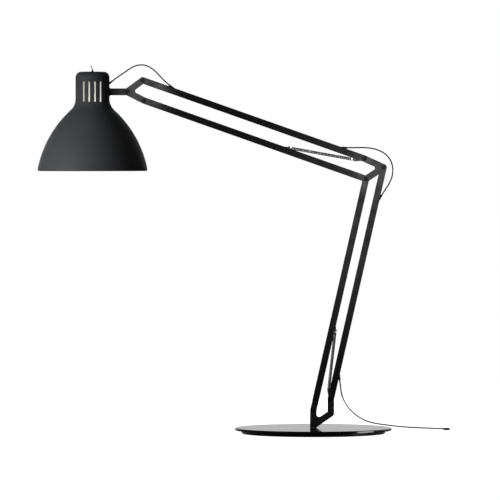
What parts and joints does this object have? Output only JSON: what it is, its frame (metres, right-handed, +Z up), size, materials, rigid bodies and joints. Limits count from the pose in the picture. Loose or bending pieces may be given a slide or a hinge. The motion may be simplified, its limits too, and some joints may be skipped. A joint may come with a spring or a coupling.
{
  "type": "adjustable-arm floor lamp",
  "caption": "floor lamp with a round two-tier base, a turning fork, spring-balanced parallelogram arms and a tilting bell shade with a vented cap",
  "frame": {"origin": "centre of the base's underside, on the floor", "axes": "Z up; the arms lie in the XZ plane with the shade towards -X; Y points away from the viewer"},
  "size_m": [2.6483, 1.0949, 2.3552],
  "materials": {
    "black_lacquer": "satin black lacquer on steel",
    "shade_lacquer": "spun aluminium, satin black lacquer",
    "plinth_board": "black lacquered board",
    "dark_steel": "blackened steel",
    "spring_steel": "oiled spring steel",
    "bronze": "sintered bronze bush",
    "zinc": "zinc plated",
    "chrome": "polished",
    "felt": "felt",
    "nylon": "nylon washer",
    "cord": "black round cord",
    "plug": "moulded black plastic",
    "holder": "phenolic lampholder",
    "bulb_metal": "screw cap",
    "opal_glass": "opal glass"
  },
  "bodies": {
    "base": {"floor_pad": "felt", "base_plinth": "plinth_board", "base_disc": "black_lacquer", "swivel_bush": "bronze", "thrust_washer": "nylon"},
    "base_fork": {"base_fork": "black_lacquer", "swivel_spindle": "dark_steel", "spindle_nut": "dark_steel", "base_pivot_bolts": "dark_steel", "lower_spring_plates": "black_lacquer", "floor_lead": "cord", "mains_plug": "plug"},
    "lower_rear_bar": {"lower_rear_tube": "black_lacquer", "lower_rear_foot_end": "black_lacquer", "lower_rear_elbow_end": "black_lacquer", "lower_rear_bushes": "bronze", "lower_rear_cord_sleeves": "cord"},
    "lower_front_bar": {"lower_front_tube": "black_lacquer", "lower_front_foot_end": "black_lacquer", "lower_front_elbow_end": "black_lacquer", "lower_front_bushes": "bronze", "lower_spring_lug": "black_lacquer", "lower_spring_pin": "dark_steel", "lower_springs": "spring_steel"},
    "elbow": {"elbow_bracket": "black_lacquer", "elbow_pivot_bolts": "dark_steel", "upper_spring_plates": "black_lacquer", "elbow_loop_upper": "cord", "elbow_loop_lower": "cord"},
    "upper_top_bar": {"upper_top_tube": "black_lacquer", "upper_top_elbow_end": "black_lacquer", "upper_top_head_end": "black_lacquer", "upper_top_bushes": "bronze", "upper_top_cord_sleeves": "cord"},
    "upper_bottom_bar": {"upper_bottom_tube": "black_lacquer", "upper_bottom_elbow_end": "black_lacquer", "upper_bottom_head_end": "black_lacquer", "upper_bottom_bush": "bronze", "upper_spring_lug": "black_lacquer", "upper_spring_pin": "dark_steel", "upper_springs": "spring_steel"},
    "head_fork": {"head_fork": "black_lacquer", "head_fork_pivot_bolts": "dark_steel", "head_bush": "bronze", "head_loop_cap": "cord", "head_loop_arm": "cord"},
    "head": {"shade_cap": "shade_lacquer", "shade_bell": "shade_lacquer", "neck": "black_lacquer", "neck_pivot_bolts": "dark_steel", "holder_bridge": "zinc", "lampholder": "holder", "bulb_cap": "bulb_metal", "bulb_globe": "opal_glass", "switch_body": "chrome", "switch_nut": "chrome", "cap_cord_sleeve": "cord"},
    "switch_lever": {"switch_lever": "chrome"}
  },
  "joints": [
    {"name": "base_swivel", "type": "hinge", "parent": "base", "child": "base_fork", "pos_m": [0, 0, 0.037], "axis": [0, 0, 1], "range_deg": [-150, 150]},
    {"name": "lower_arm_tilt", "type": "hinge", "parent": "base_fork", "child": "lower_rear_bar", "pos_m": [0.112, 0, 0.221], "axis": [0, 1, 0], "range_deg": [-40, 10], "deforming": ["floor_lead", "elbow_loop_lower"]},
    {"name": "lower_front_follow", "type": "hinge", "parent": "base_fork", "child": "lower_front_bar", "pos_m": [0, 0, 0.147], "axis": [0, 1, 0], "range_deg": [-40, 10], "deforming": ["lower_springs"]},
    {"name": "elbow_level", "type": "hinge", "parent": "lower_rear_bar", "child": "elbow", "pos_m": [0.44765, 0, 1.69835], "axis": [0, 1, 0], "range_deg": [-10, 40]},
    {"name": "upper_arm_tilt", "type": "hinge", "parent": "elbow", "child": "upper_top_bar", "pos_m": [0.32665, 0, 1.75335], "axis": [0, 1, 0], "range_deg": [-38, 30], "deforming": ["elbow_loop_upper", "head_loop_arm"]},
    {"name": "upper_bottom_follow", "type": "hinge", "parent": "elbow", "child": "upper_bottom_bar", "pos_m": [0.33565, 0, 1.62435], "axis": [0, 1, 0], "range_deg": [-38, 30], "deforming": ["upper_springs"]},
    {"name": "head_level", "type": "hinge", "parent": "upper_top_bar", "child": "head_fork", "pos_m": [-1.08775, 0, 2.25283], "axis": [0, 1, 0], "range_deg": [-30, 38]},
    {"name": "head_tilt", "type": "hinge", "parent": "head_fork", "child": "head", "pos_m": [-1.18865, 0, 2.17923], "axis": [0, 1, 0], "range_deg": [-20, 75], "deforming": ["head_loop_cap"]},
    {"name": "switch_toggle", "type": "hinge", "parent": "head", "child": "switch_lever", "pos_m": [-1.40795, 0, 2.3198], "axis": [0, 1, 0], "range_deg": [0, 44]}
  ],
  "couplings": [
    {"joint": "lower_front_follow", "follows": "lower_arm_tilt", "ratio": 1},
    {"joint": "elbow_level", "follows": "lower_arm_tilt", "ratio": -1},
    {"joint": "upper_bottom_follow", "follows": "upper_arm_tilt", "ratio": 1},
    {"joint": "head_level", "follows": "upper_arm_tilt", "ratio": -1}
  ]
}
